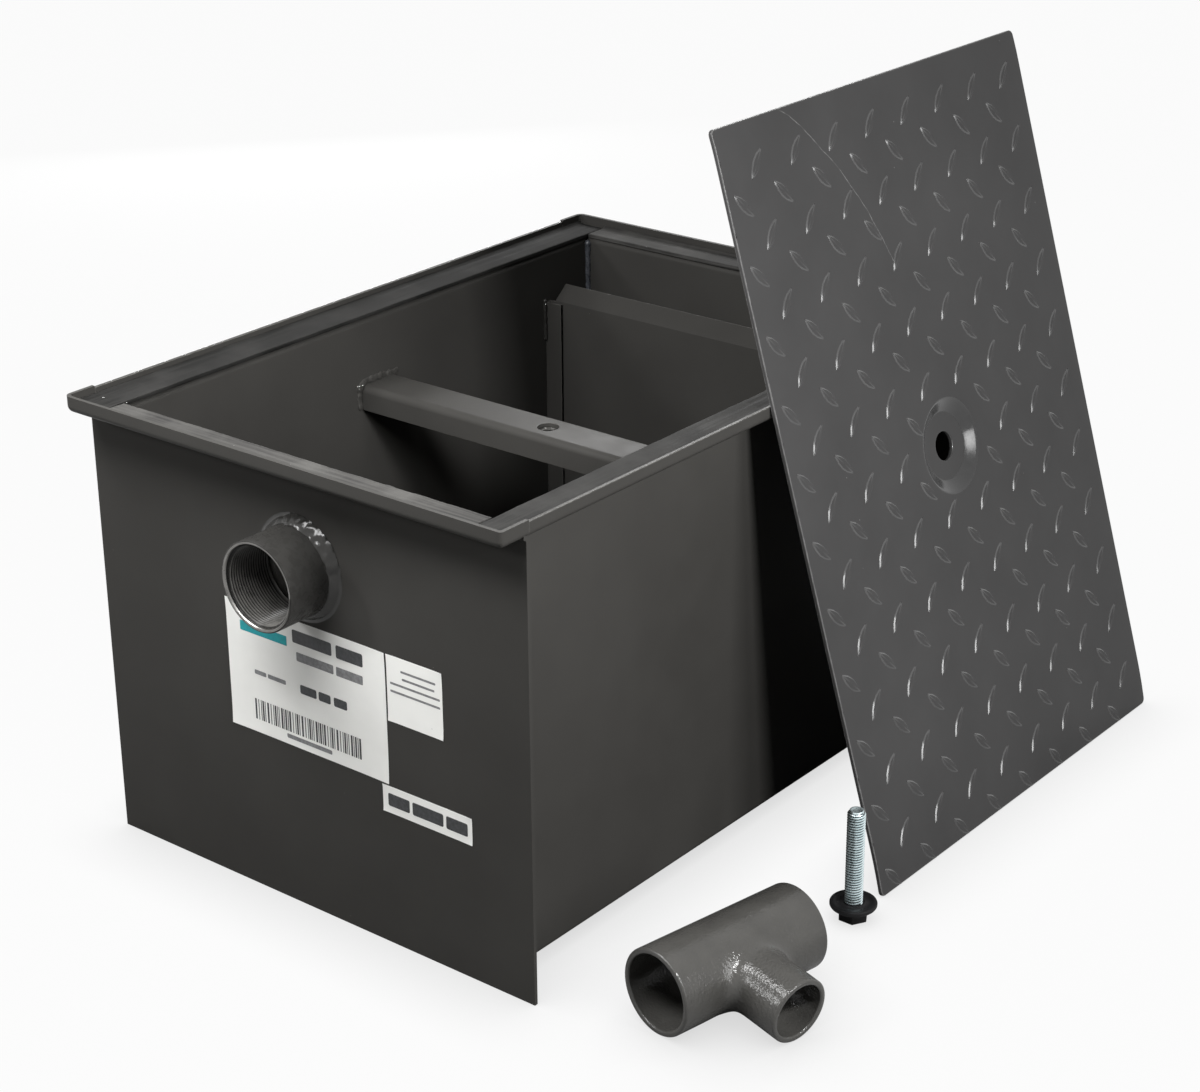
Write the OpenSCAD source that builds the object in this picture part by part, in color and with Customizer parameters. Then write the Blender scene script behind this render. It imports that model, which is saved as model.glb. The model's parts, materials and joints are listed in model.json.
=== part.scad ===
// Steel grease trap with its cover taken off: the tank stands open, the tread-plate cover leans on
// the right-hand rim, the cover bolt stands on its head and the flow-control tee lies in front.
// X runs across the tank, Y from the outlet plate to the inlet plate, Z up from the ground.
// The origin is the middle of the outlet plate's bottom edge. All sizes are in millimetres.

/* [Tank] */
// Width of the end plates and of the rim
plate_w = 390; // [300:1:480]
// Length over the outer faces of the two end plates
tank_l = 510; // [420:1:640]
// Height from the ground to the top of the lip
rim_h = 341; // [320:1:460]
// Thickness of the folded steel sheet
sheet_t = 2.7; // [2:0.1:3.5]
// Inside radius of the folds in the sheet
fold_r = 2.3; // [1.5:0.1:3]
// Space between the ground and the tank's floor
floor_gap = 11; // [6:1:25]

/* [Rim] */
// Height of the lip's outer face
lip_h = 12; // [9:0.5:16]
// Reach of the rim beyond the end plates
end_overhang = 23; // [14:0.5:30]
// Reach of the rim beyond the side walls
side_overhang = 26; // [18:0.5:36]
// Radius of the rim's corners seen from above
corner_r = 6; // [5.5:0.5:12]
// How much lower the side lips stand than the end lips
side_lip_drop = 1.2; // [0:0.1:2]

/* [Gaskets] */
// Thickness of the rubber strips
gasket_t = 3; // [2:0.1:5]
// How far the strips reach past the inner face of the walls
gasket_reach = 0.8; // [0:0.1:3]
// Gap between a strip and the fold of the lip or the next strip
gasket_gap = 0.3; // [0.1:0.1:1]

/* [Cross bar] */
// Width of the bar
bar_w = 38; // [30:1:50]
// Height of the bar
bar_h = 19; // [15:1:30]
// Thickness of the bar's steel
bar_t = 3; // [2:0.1:4]
// Drop from the top of the lip to the top of the bar
bar_drop = 61; // [40:1:80]
// Space round the cover bolt in the bar's hole
bar_hole_clear = 1.65; // [0.4:0.05:2]

/* [Baffles] */
// Thickness of the baffle sheets
baffle_t = 2; // [1.5:0.1:3]
// Distance from an end plate's inner face to the middle of its baffle
baffle_offset = 51; // [35:1:80]
// Drop from the top of the lip to the fold at a baffle's top edge
baffle_drop = 49; // [40:1:90]
// Width of the folded top edge
baffle_flange = 16.5; // [10:0.5:20]
// Slope of the folded top edge from level
baffle_slope = 40; // [15:1:60]
// Space between a baffle's side edge and the bottom of its guide's groove
baffle_edge_clear = 6.5; // [2:0.5:10]
// Height of the flow openings along a baffle's bottom edge
notch_h = 55; // [30:1:90]
// Width of the feet beside and between the flow openings
baffle_foot_w = 32; // [20:1:50]
// Space between a baffle and the floor it stands on
seat_gap = 0.3; // [0.1:0.1:0.6]

/* [Baffle guides] */
// Depth of a guide channel, from the wall into the tank
guide_w = 16; // [14:0.5:24]
// Thickness of a guide channel
guide_t = 2; // [1.5:0.1:3]
// Space on each side of the baffle in its guide
guide_clear = 0.6; // [0.3:0.1:1.2]
// Distance from a guide's top to the baffle's fold
guide_drop = 1.5; // [1:0.5:20]

/* [Couplings] */
// Outer diameter of the pipe couplings
coupling_d = 63.5; // [56:0.5:76]
// Length of the pipe couplings
coupling_l = 39.5; // [30:0.5:60]
// Inner diameter of the threaded bore
coupling_bore_d = 55; // [40:0.5:56]
// Width of the flat rim left at the coupling's mouth
mouth_rim = 2.5; // [1:0.25:3.5]
// Depth of the thread-free cone
mouth_depth = 2.5; // [1:0.5:8]
// Drop from the top of the lip to the outlet's centre
outlet_drop = 83; // [65:1:110]
// Drop from the top of the lip to the inlet's centre
inlet_drop = 83; // [65:1:110]
// Leg length of the weld round a coupling
weld_leg = 6.5; // [3:0.5:10]
// How far the weld's face swells beyond a straight bevel
weld_bulge = 0.8; // [0.2:0.1:1.2]

/* [Cover] */
// Space between the cover's long edges and the lip when the cover is on
cover_clear = 0.6; // [0.5:0.1:4]
// Space between the cover's short edges and the lip when the cover is on
cover_end_clear = 4.2; // [0.5:0.1:8]
// Thickness of the cover plate
cover_t = 3.2; // [2.5:0.1:5]
// Angle of the leaning cover from upright
cover_lean = 16.7; // [12:0.1:25]
// Distance along the tank from the outlet plate to the cover's near edge
cover_y = 250.6; // [245:0.2:300]
// Gap between the cover's back and the lip it leans on
lean_gap = 0.2; // [0.1:0.1:0.5]
// Width of the dimple's sloping side
dimple_slope = 9.5; // [6:0.5:20]
// Space round the washer on the dimple's floor
dimple_clear = 8; // [1:0.5:10]
// Depth of the dimple
dimple_depth = 6; // [3:0.5:10]
// Space round the cover bolt in the cover's hole
cover_hole_clear = 4.3; // [0.5:0.05:5]

/* [Tread lugs] */
// Length of a lug
lug_l = 25; // [18:0.5:30]
// Width of a lug
lug_w = 8; // [5:0.5:11]
// Height of a lug
lug_h = 1.2; // [0.6:0.1:2]
// Distance between lugs of one direction across the cover
lug_pitch_across = 45.5; // [40:0.5:60]
// Distance between lugs of one direction along the cover
lug_pitch_along = 47.9; // [40:0.1:60]
// Slope of the lugs from the cover's bottom edge
lug_angle = 48; // [35:1:55]
// Distance from the cover's near bottom corner to the first lug, across the cover
lug_first_across = 16; // [10:1:40]
// Distance from the cover's bottom edge to the first lug
lug_first_along = 9; // [5:1:40]

/* [Cover bolt] */
// Thread diameter of the bolt
bolt_d = 12.7; // [10:0.1:13]
// Length of the shank under the head
bolt_l = 76; // [50:1:100]
// Width of the hexagon head across its flats
head_af = 19; // [16:0.5:22]
// Height of the hexagon head
head_h = 8; // [6:0.5:10]
// Diameter of the rubber washer
washer_d = 33; // [28:0.5:38]
// Thickness of the rubber washer
washer_t = 5; // [2:0.5:6]
// Width of the bevel under the washer's outer edge
washer_bevel = 3; // [1:0.5:5]
// Space between the washer and the shank
washer_clear = 0.15; // [0.1:0.05:0.4]
// Height of the nut under the cross bar
nut_h = 11; // [8:0.5:13]
// Distance from the rim to the standing bolt, across the tank
bolt_out = 101.7; // [80:0.1:130]
// Distance along the tank from the outlet plate to the standing bolt
bolt_y = 217; // [200:1:225]

/* [Flow-control tee] */
// Outer diameter of the tee's straight run
tee_d = 60.3; // [50:0.1:70]
// Length of the straight run
tee_l = 124.5; // [110:0.5:150]
// Wall of the straight run
tee_wall = 5; // [3:0.1:6]
// Outer diameter of the branch
branch_d = 45.8; // [35:0.1:48]
// Distance from the run's axis to the branch's mouth
branch_l = 67.8; // [60:0.1:80]
// Wall of the branch
branch_wall = 4.2; // [3:0.1:6]
// Width of the blend between branch and run
tee_blend = 7; // [3:0.5:9]
// Width of the bevel at each mouth
tee_bevel = 1.5; // [0.5:0.1:2]
// Distance from the rim to the middle of the tee, across the tank
tee_out = 92.4; // [80:0.1:130]
// Distance along the tank from the outlet plate to the middle of the tee
tee_y = 82.6; // [60:0.1:100]
// Turn of the straight run from the X axis
tee_turn = 78.9; // [60:0.1:100]
// Distance from the run's far mouth to the orifice plate
orifice_in = 11.5; // [5:0.5:14]
// Diameter of the hole in the orifice plate
orifice_d = 22; // [10:1:35]
// Thickness of the orifice plate
orifice_t = 4; // [2:0.5:6]
// Space between the orifice plate and the tee's bore
orifice_clear = 0.05; // [0.02:0.01:0.2]

/* [Labels] */
// Thickness of the paper labels
label_t = 0.3; // [0.2:0.1:0.5]
// Width of the main label
label_main_w = 146; // [100:1:160]
// Height of the main label
label_main_h = 95.5; // [60:0.5:100]
// Space between the outlet's weld and the main label's top edge
label_drop = 1.75; // [0.5:0.25:20]
// Side of the square second label
label_side_w = 48; // [30:1:55]
// Width of the strip label
label_strip_w = 78; // [60:1:90]
// Height of the strip label
label_strip_h = 20; // [12:1:25]
// How far the strip label reaches back under the main label
label_strip_in = 6.2; // [0:0.1:20]
// Gap between neighbouring labels
label_gap = 1.5; // [0.5:0.5:4]

/* [Hidden] */
$fn = 64;
paint = [0.28, 0.27, 0.26];
cover_paint = [0.31, 0.31, 0.30];
rubber = [0.10, 0.10, 0.10];
zinc = [0.66, 0.70, 0.71];
paper = [0.93, 0.93, 0.92];
bare_steel = [0.45, 0.45, 0.44];
eps = 0.01;
fold_outer = fold_r + sheet_t;
half_w = plate_w/2;
ledge_z = rim_h - lip_h;
ledge_top = ledge_z + sheet_t;
end_d = sheet_t/2 + end_overhang;
plate_pitch = tank_l - sheet_t;
wall_x = half_w - side_overhang;
inner_x = wall_x - sheet_t;
floor_top = floor_gap + sheet_t;
inner_y0 = sheet_t/2;
inner_y1 = plate_pitch - sheet_t/2;
mid_y = plate_pitch/2;
bar_top = rim_h - bar_drop;
bar_hole_d = bolt_d + 2*bar_hole_clear;
baffle_h = rim_h - baffle_drop;
inlet_baffle_y = inner_y1 - baffle_offset;
outlet_baffle_y = inner_y0 + baffle_offset;
guide_top = baffle_h - guide_drop;
slot_w = baffle_t + 2*guide_clear;
baffle_x = inner_x - guide_t - baffle_edge_clear;
outlet_z = rim_h - outlet_drop;
inlet_z = rim_h - inlet_drop;
cover_w = plate_w - 2*(sheet_t + cover_clear);
cover_l = plate_pitch + 2*(end_d - sheet_t - cover_end_clear);
cover_hole_d = bolt_d + 2*cover_hole_clear;
dimple_floor_d = washer_d + 2*dimple_clear;
dimple_d = dimple_floor_d + 2*dimple_slope;
label_top = outlet_z - coupling_d/2 - weld_leg - label_drop;
gasket_in_x = inner_x - gasket_reach;
gasket_in_y = sheet_t/2 + gasket_reach;
lean_foot_x = half_w + rim_h*tan(cover_lean) + lean_gap/cos(cover_lean);
lug_r = (pow(lug_l, 2) + pow(lug_w, 2))/(4*lug_w);
bolt_x = half_w + bolt_out;
tee_x = half_w + tee_out;
// The tee rolls until the branch's mouth rests on the ground too
tee_tilt = asin(tee_d/2/norm([branch_l, branch_d/2])) - atan(branch_d/2/branch_l);
// The blend's shoulder is as wide as it can be without reaching below the run
shoulder_y = tee_d/2 - tee_blend;
shoulder_r = min(branch_d/2 + tee_blend, (tee_d/2 - shoulder_y*sin(tee_tilt))/cos(tee_tilt) - eps);

// Quarter of a fold: a ring of the given inside radius and thickness in the first quadrant
module fold(r, t) {
    intersection() {
        difference() {
            circle(r + t);
            circle(r);
        }
        square(r + t);
    }
}

// Flat outline drawn as distance outward and height, drawn out across the tank
module across(w) {
    rotate([90, 0, -90])
        linear_extrude(w, center = true) children();
}

// Flat outline drawn as X and height, drawn out along the tank from y0 to y1
module along(y0, y1) {
    translate([0, y1, 0])
        rotate([90, 0, 0])
            linear_extrude(y1 - y0) children();
}

// Lip and the fold under it; the outline's right edge is the lip's outer face at x = reach
module lip_outline(reach, top) {
    translate([reach - fold_outer, ledge_z + fold_outer])
        rotate(-90) fold(fold_r, sheet_t);
    translate([reach - sheet_t, ledge_z + fold_outer])
        square([sheet_t, top - ledge_z - fold_outer]);
}

// Half of the tank's cross section: floor, wall, ledge and lip
module shell_outline() {
    translate([0, floor_gap])
        square([wall_x - fold_outer, sheet_t]);
    translate([wall_x - fold_outer, floor_gap + fold_outer])
        rotate(-90) fold(fold_r, sheet_t);
    translate([inner_x, floor_gap + fold_outer])
        square([sheet_t, ledge_z - fold_r - floor_gap - fold_outer]);
    translate([wall_x + fold_r, ledge_z - fold_r])
        rotate(90) fold(fold_r, sheet_t);
    translate([wall_x + fold_r, ledge_z])
        square([half_w - fold_outer - wall_x - fold_r, sheet_t]);
    lip_outline(half_w, rim_h - side_lip_drop);
}

// Left wall, floor and right wall, folded from one sheet
module tank_shell() {
    color(paint)
        along(inner_y0, inner_y1) {
            shell_outline();
            mirror([1, 0]) shell_outline();
        }
}

// End plate's section without the lip: plate, fold and ledge
module plate_outline() {
    translate([-sheet_t/2, 0])
        square([sheet_t, ledge_z - fold_r]);
    translate([sheet_t/2 + fold_r, ledge_z - fold_r])
        rotate(90) fold(fold_r, sheet_t);
}

// Rounded rim corner: a quarter of a ring turned about its own upright axis
module rim_corner() {
    intersection() {
        rotate_extrude() lip_outline(corner_r, rim_h);
        translate([0, -2*corner_r, 0]) cube([2*corner_r, 2*corner_r, rim_h + 1]);
    }
}

// End ledge seen from above, inside the folds of the lip
module ledge_outline() {
    back = -sheet_t/2 - fold_r;
    front = fold_outer - end_d;
    corner_y = corner_r - end_d;
    translate([corner_r - half_w, front])
        square([plate_w - 2*corner_r, back - front]);
    translate([fold_outer - half_w, corner_y])
        square([plate_w - 2*fold_outer, back - corner_y]);
    for (side = [-1, 1])
        translate([side*(half_w - corner_r), corner_y])
            circle(corner_r - fold_outer);
}

// End plate with feet, ledge, lip and the two rim corners; the plate's middle is at Y = 0
module end_plate(hole_z) {
    difference() {
        union() {
            across(plate_w) plate_outline();
            across(plate_w - 2*corner_r) lip_outline(end_d, rim_h);
            translate([0, 0, ledge_z]) linear_extrude(sheet_t) ledge_outline();
            for (side = [0, 1])
                mirror([side, 0, 0]) {
                    translate([half_w - corner_r, corner_r - end_d, 0]) rim_corner();
                    along(corner_r - end_d, inner_y0) lip_outline(half_w, rim_h);
                }
        }
        translate([0, 0, hole_z])
            rotate([90, 0, 0]) cylinder(d = coupling_bore_d, h = 4*sheet_t, center = true);
    }
}

// Front plate, with the outlet
module outlet_end_plate() {
    color(paint) end_plate(outlet_z);
}

// Back plate, with the inlet
module inlet_end_plate() {
    color(paint)
        translate([0, plate_pitch, 0])
            mirror([0, 1, 0]) end_plate(inlet_z);
}

// Long rubber strip on a side ledge, from one rim corner to the other
module gasket_long() {
    x0 = gasket_in_x;
    x1 = half_w - fold_outer - gasket_gap;
    y0 = corner_r - end_d;
    translate([x0, y0, ledge_top])
        cube([x1 - x0, plate_pitch - 2*y0, gasket_t]);
}

// Short rubber strip on an end ledge, between the two long ones
module gasket_short() {
    x1 = gasket_in_x - gasket_gap;
    y0 = fold_outer - end_d + gasket_gap;
    translate([-x1, y0, ledge_top])
        cube([2*x1, gasket_in_y - y0, gasket_t]);
}

module gasket_right() {
    color(rubber) gasket_long();
}

module gasket_left() {
    color(rubber) mirror([1, 0, 0]) gasket_long();
}

module gasket_outlet() {
    color(rubber) gasket_short();
}

module gasket_inlet() {
    color(rubber)
        translate([0, plate_pitch, 0])
            mirror([0, 1, 0]) gasket_short();
}

// Half of the bar's channel section, open downward
module bar_outline() {
    bar_fold = fold_r + bar_t;
    translate([0, bar_top - bar_t])
        square([bar_w/2 - bar_fold, bar_t]);
    translate([bar_w/2 - bar_fold, bar_top - bar_fold])
        fold(fold_r, bar_t);
    translate([bar_w/2 - bar_t, bar_top - bar_h])
        square([bar_t, bar_h - bar_fold]);
}

// Channel across the tank that the cover bolt screws into
module cross_bar() {
    color(paint)
        difference() {
            translate([0, mid_y, 0])
                across(2*inner_x) {
                    bar_outline();
                    mirror([1, 0]) bar_outline();
                }
            translate([0, mid_y, bar_top - bar_t/2])
                cylinder(d = bar_hole_d, h = 3*bar_t, center = true);
        }
}

// Weld nut under the bar, in line with the hole
module bar_nut() {
    color(zinc)
        translate([0, mid_y, bar_top - bar_t - nut_h])
            difference() {
                cylinder(d = head_af/cos(30), h = nut_h, $fn = 6);
                translate([0, 0, -1]) cylinder(d = bolt_d, h = nut_h + 2);
            }
}

// Baffle's side view: the sheet and its folded top edge
module baffle_outline() {
    z0 = floor_top + seat_gap;
    translate([-baffle_t/2, z0])
        square([baffle_t, baffle_h - z0]);
    translate([0, baffle_h]) {
        circle(d = baffle_t);
        rotate(baffle_slope)
            translate([0, -baffle_t/2])
                square([baffle_flange, baffle_t]);
    }
}

// Removable baffle; its folded edge points away from the tank's middle
module baffle() {
    notch_w = baffle_x - 1.5*baffle_foot_w;
    difference() {
        across(2*baffle_x) baffle_outline();
        for (side = [-1, 1])
            translate([side*(baffle_foot_w + notch_w)/2, 0, floor_top])
                translate([-notch_w/2, -baffle_t, -1])
                    cube([notch_w, 2*baffle_t, notch_h + 1]);
    }
}

module outlet_baffle() {
    color(paint) translate([0, outlet_baffle_y, 0]) baffle();
}

module inlet_baffle() {
    color(paint)
        translate([0, inlet_baffle_y, 0])
            mirror([0, 1, 0]) baffle();
}

// Guide channel on the right wall above the floor's fold, open towards the tank's middle
module guide() {
    leg_y = slot_w/2;
    z0 = floor_gap + fold_outer;
    translate([inner_x - guide_t, -leg_y - guide_t, z0])
        cube([guide_t, slot_w + 2*guide_t, guide_top - z0]);
    for (y = [-leg_y - guide_t, leg_y])
        translate([inner_x - guide_w, y, z0])
            cube([guide_w, guide_t, guide_top - z0]);
}

module inlet_guide_right() {
    color(paint) translate([0, inlet_baffle_y, 0]) guide();
}

module inlet_guide_left() {
    color(paint) mirror([1, 0, 0]) translate([0, inlet_baffle_y, 0]) guide();
}

module outlet_guide_right() {
    color(paint) translate([0, outlet_baffle_y, 0]) guide();
}

module outlet_guide_left() {
    color(paint) mirror([1, 0, 0]) translate([0, outlet_baffle_y, 0]) guide();
}

// Pipe coupling standing on Z = 0, its mouth at the top
module coupling() {
    r0 = coupling_bore_d/2;
    r1 = coupling_d/2;
    rotate_extrude()
        polygon([[r0, 0], [r1, 0], [r1, coupling_l], [r1 - mouth_rim, coupling_l],
                 [r0, coupling_l - mouth_depth]]);
}

// Fillet weld round the foot of a coupling
module coupling_weld() {
    r1 = coupling_d/2;
    mid = weld_leg/2 + weld_bulge;
    rotate_extrude()
        polygon([[r1, 0], [r1 + weld_leg, 0], [r1 + mid, mid], [r1, weld_leg]]);
}

// Places a piece on the outer face of the outlet plate, pointing outward
module at_outlet() {
    translate([0, -sheet_t/2, outlet_z]) rotate([90, 0, 0]) children();
}

// Places a piece on the outer face of the inlet plate, pointing outward
module at_inlet() {
    translate([0, plate_pitch + sheet_t/2, inlet_z]) rotate([-90, 0, 0]) children();
}

module outlet_coupling() {
    color(paint) at_outlet() coupling();
}

module inlet_coupling() {
    color(paint) at_inlet() coupling();
}

module outlet_weld() {
    color(paint) at_outlet() coupling_weld();
}

module inlet_weld() {
    color(paint) at_inlet() coupling_weld();
}

// Pointed oval lug outline, lying along its own X axis
module lug_outline() {
    shift = lug_r - lug_w/2;
    intersection() {
        translate([0, shift]) circle(lug_r);
        translate([0, -shift]) circle(lug_r);
    }
}

// One set of parallel lugs, in rows and columns, clear of the dimple
module lug_set(x0, y0, angle) {
    for (x = [x0 : lug_pitch_across : cover_w], y = [y0 : lug_pitch_along : cover_l])
        if (norm([x - cover_w/2, y - cover_l/2]) > dimple_d/2 + lug_w/2)
            translate([x, y]) rotate(angle) lug_outline();
}

// Tread pattern: two crossed sets of lugs, cut off at the cover's edges and at the dimple
module tread_outline() {
    difference() {
        intersection() {
            square([cover_w, cover_l]);
            union() {
                lug_set(lug_first_across, lug_first_along, -lug_angle);
                lug_set(lug_first_across + lug_pitch_across/2, lug_first_along + lug_pitch_along/2,
                        lug_angle);
            }
        }
        translate([cover_w/2, cover_l/2]) circle(d = dimple_d);
    }
}

// Pressed dimple with the bolt hole, its axis up and the tread face at Z = cover_t
module dimple() {
    r0 = cover_hole_d/2;
    r1 = dimple_floor_d/2;
    r2 = dimple_d/2;
    rotate_extrude()
        polygon([[r0, -dimple_depth], [r1, -dimple_depth], [r2, 0], [r2 + eps, 0], [r2 + eps, cover_t],
                 [r2, cover_t], [r1, cover_t - dimple_depth], [r0, cover_t - dimple_depth]]);
}

// Cover lying flat, tread side up, with its near bottom corner at the origin
module cover_flat() {
    difference() {
        cube([cover_w, cover_l, cover_t]);
        translate([cover_w/2, cover_l/2, -1]) cylinder(d = dimple_d, h = cover_t + 2);
    }
    translate([cover_w/2, cover_l/2, 0]) dimple();
    translate([0, 0, cover_t - eps]) linear_extrude(lug_h + eps) tread_outline();
}

// Tread-plate cover, leaning back on the right-hand lip
module cover() {
    color(cover_paint)
        translate([lean_foot_x, cover_y, 0])
            rotate([0, -cover_lean, 0])
                rotate([90, 0, 90]) cover_flat();
}

// Hexagon-head bolt, standing on its head
module cover_bolt() {
    color(zinc)
        translate([bolt_x, bolt_y, 0]) {
            cylinder(d = head_af/cos(30), h = head_h, $fn = 6);
            translate([0, 0, head_h - eps]) cylinder(d = bolt_d, h = bolt_l + eps);
        }
}

// Rubber washer under the bolt's head, with a turned-down outer edge
module seal_washer() {
    r0 = bolt_d/2 + washer_clear;
    r1 = washer_d/2;
    color(rubber)
        translate([bolt_x, bolt_y, head_h])
            rotate_extrude()
                polygon([[r0, 0], [r1 - washer_bevel, 0], [r1, washer_t/2], [r1, washer_t],
                         [r0, washer_t]]);
}

// Bar of a tee with bevelled ends, lying along X and centred
module bevelled_bar(d, l) {
    rotate([0, 90, 0])
        rotate_extrude()
            polygon([[0, -l/2], [d/2 - tee_bevel, -l/2], [d/2, tee_bevel - l/2], [d/2, l/2 - tee_bevel],
                     [d/2 - tee_bevel, l/2], [0, l/2]]);
}

// Branch of the tee along Y, widened where it runs into the straight part
module branch_bar() {
    rotate([-90, 0, 0])
        rotate_extrude()
            polygon([[0, 0], [shoulder_r, 0], [shoulder_r, shoulder_y],
                     [branch_d/2, tee_d/2 + tee_blend], [branch_d/2, branch_l - tee_bevel],
                     [branch_d/2 - tee_bevel, branch_l], [0, branch_l]]);
}

// Places a piece of the tee: straight run along X, branch along Y, both axes at the origin
module at_tee() {
    translate([tee_x, tee_y, tee_d/2])
        rotate([0, 0, tee_turn])
            rotate([tee_tilt, 0, 0])
                mirror([0, 1, 0]) children();
}

// Flow-control reducing tee, lying on its run and its branch
module flow_tee() {
    color(paint)
        at_tee()
            difference() {
                union() {
                    bevelled_bar(tee_d, tee_l);
                    branch_bar();
                }
                rotate([0, 90, 0]) cylinder(d = tee_d - 2*tee_wall, h = tee_l + 2, center = true);
                rotate([-90, 0, 0]) cylinder(d = branch_d - 2*branch_wall, h = branch_l + 1);
            }
}

// Orifice plate inside the run's far end, which limits the flow
module flow_orifice() {
    color(bare_steel)
        at_tee()
            translate([tee_l/2 - orifice_in - orifice_t, 0, 0])
                rotate([0, 90, 0])
                    difference() {
                        cylinder(d = tee_d - 2*tee_wall - 2*orifice_clear, h = orifice_t);
                        translate([0, 0, -1]) cylinder(d = orifice_d, h = orifice_t + 2);
                    }
}

// Paper label on the outlet plate, from its left bottom corner
module label(x, z, w, h) {
    color(paper)
        translate([x, -sheet_t/2 - label_t, z]) cube([w, label_t, h]);
}

module label_main() {
    label(-label_main_w/2, label_top - label_main_h, label_main_w, label_main_h);
}

module label_side() {
    label(label_main_w/2 + label_gap, label_top - label_side_w, label_side_w, label_side_w);
}

module label_strip() {
    label(label_main_w/2 - label_strip_in, label_top - label_main_h - label_gap - label_strip_h,
          label_strip_w, label_strip_h);
}

tank_shell();
outlet_end_plate();
inlet_end_plate();
gasket_left();
gasket_right();
gasket_outlet();
gasket_inlet();
cross_bar();
bar_nut();
inlet_baffle();
outlet_baffle();
inlet_guide_left();
inlet_guide_right();
outlet_guide_left();
outlet_guide_right();
outlet_coupling();
inlet_coupling();
outlet_weld();
inlet_weld();
cover();
cover_bolt();
seal_washer();
flow_tee();
flow_orifice();
label_main();
label_side();
label_strip();
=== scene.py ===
import bmesh
import bpy
import json
import math
import random
from mathutils import Matrix, Vector, noise

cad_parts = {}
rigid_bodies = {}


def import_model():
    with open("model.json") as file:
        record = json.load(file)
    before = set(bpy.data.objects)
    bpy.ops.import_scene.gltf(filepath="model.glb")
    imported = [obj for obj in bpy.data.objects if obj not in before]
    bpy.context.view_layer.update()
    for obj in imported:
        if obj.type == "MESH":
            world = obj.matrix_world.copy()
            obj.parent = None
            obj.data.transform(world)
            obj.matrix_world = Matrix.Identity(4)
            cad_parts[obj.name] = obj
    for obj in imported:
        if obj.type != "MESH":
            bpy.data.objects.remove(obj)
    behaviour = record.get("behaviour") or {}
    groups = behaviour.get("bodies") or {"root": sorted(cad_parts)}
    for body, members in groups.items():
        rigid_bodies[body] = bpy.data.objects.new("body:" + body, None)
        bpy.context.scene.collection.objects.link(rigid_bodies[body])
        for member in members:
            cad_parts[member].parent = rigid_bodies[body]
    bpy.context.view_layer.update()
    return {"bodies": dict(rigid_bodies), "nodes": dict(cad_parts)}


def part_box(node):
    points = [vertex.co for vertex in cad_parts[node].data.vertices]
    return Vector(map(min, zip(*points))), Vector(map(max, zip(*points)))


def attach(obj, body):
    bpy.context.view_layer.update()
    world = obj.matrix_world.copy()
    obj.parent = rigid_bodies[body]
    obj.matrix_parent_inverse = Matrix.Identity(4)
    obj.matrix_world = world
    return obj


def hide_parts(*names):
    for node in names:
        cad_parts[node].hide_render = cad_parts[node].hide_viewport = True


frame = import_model()
scene = bpy.context.scene
random.seed(11)
mm = 0.001


# helpers

def clearSelection():
    if bpy.context.mode != "OBJECT":
        bpy.ops.object.mode_set(mode="OBJECT")
    bpy.ops.object.select_all(action="DESELECT")


def take(piece):
    clearSelection()
    piece.select_set(True)
    bpy.context.view_layer.objects.active = piece
    return piece


def selectAll():
    bpy.ops.mesh.select_all(action="SELECT")


def editPiece(piece, kind="VERT"):
    # edit mode with everything selected
    take(piece)
    bpy.ops.object.mode_set(mode="EDIT")
    bpy.ops.mesh.select_mode(type=kind)
    selectAll()


def leaveEdit():
    bpy.ops.object.mode_set(mode="OBJECT")


def selectWhere(piece, kind, test):
    # in edit mode, picks the vertices, edges or faces that pass the test
    mesh = bmesh.from_edit_mesh(piece.data)
    for group in (mesh.faces, mesh.edges, mesh.verts):
        for item in group:
            item.select = False
    for item in {"VERT": mesh.verts, "EDGE": mesh.edges, "FACE": mesh.faces}[kind]:
        if test(item):
            item.select_set(True)
    mesh.select_flush_mode()
    bmesh.update_edit_mesh(piece.data)


def addModifier(piece, kind, **settings):
    modifier = piece.modifiers.new(kind.title(), kind)
    for key, value in settings.items():
        setattr(modifier, key, value)
    take(piece)
    bpy.ops.object.modifier_apply(modifier=modifier.name)


def joinPieces(pieces):
    clearSelection()
    for piece in pieces:
        piece.select_set(True)
    bpy.context.view_layer.objects.active = pieces[0]
    if len(pieces) > 1:
        bpy.ops.object.join()
    return bpy.context.object


def applyPlace(piece, place=None):
    if place is not None:
        piece.matrix_world = place
    take(piece)
    bpy.ops.object.transform_apply()


def addShape(operator, scale=(1, 1, 1), **settings):
    # a plain shape with its place and scale applied
    clearSelection()
    operator(**settings)
    piece = bpy.context.object
    piece.scale = scale
    applyPlace(piece)
    return piece


def easeEdges(piece, width, segments, angle, **settings):
    addModifier(piece, "BEVEL", width=width*mm, segments=segments, limit_method="ANGLE",
                angle_limit=math.radians(angle), **settings)


def coat(piece, *finishes):
    piece.data.materials.clear()
    for finish in finishes:
        piece.data.materials.append(finish)


def settle(piece, name, finish, nodes=(), smooth=35, body="tank", place=None):
    applyPlace(piece, place)
    piece.name = name
    piece.data.name = name
    if finish:
        coat(piece, finish)
    if smooth:
        bpy.ops.object.shade_smooth_by_angle(angle=math.radians(smooth))
    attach(piece, body)
    if nodes:
        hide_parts(*nodes)


def drawProfile(rings, closed=True):
    # one vertex, extruded along (radius, height) in millimetres; stays in edit mode
    points = [Vector((r*mm, 0, h*mm)) for r, h in (rings + rings[:1] if closed else rings)]
    piece = addShape(bpy.ops.mesh.primitive_plane_add, size=mm)
    editPiece(piece)
    bpy.ops.mesh.merge(type="CENTER")
    bpy.ops.transform.translate(value=points[0])
    for a, b in zip(points, points[1:]):
        bpy.ops.mesh.extrude_vertices_move(TRANSFORM_OT_translate={"value": b - a})
    return piece


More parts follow.
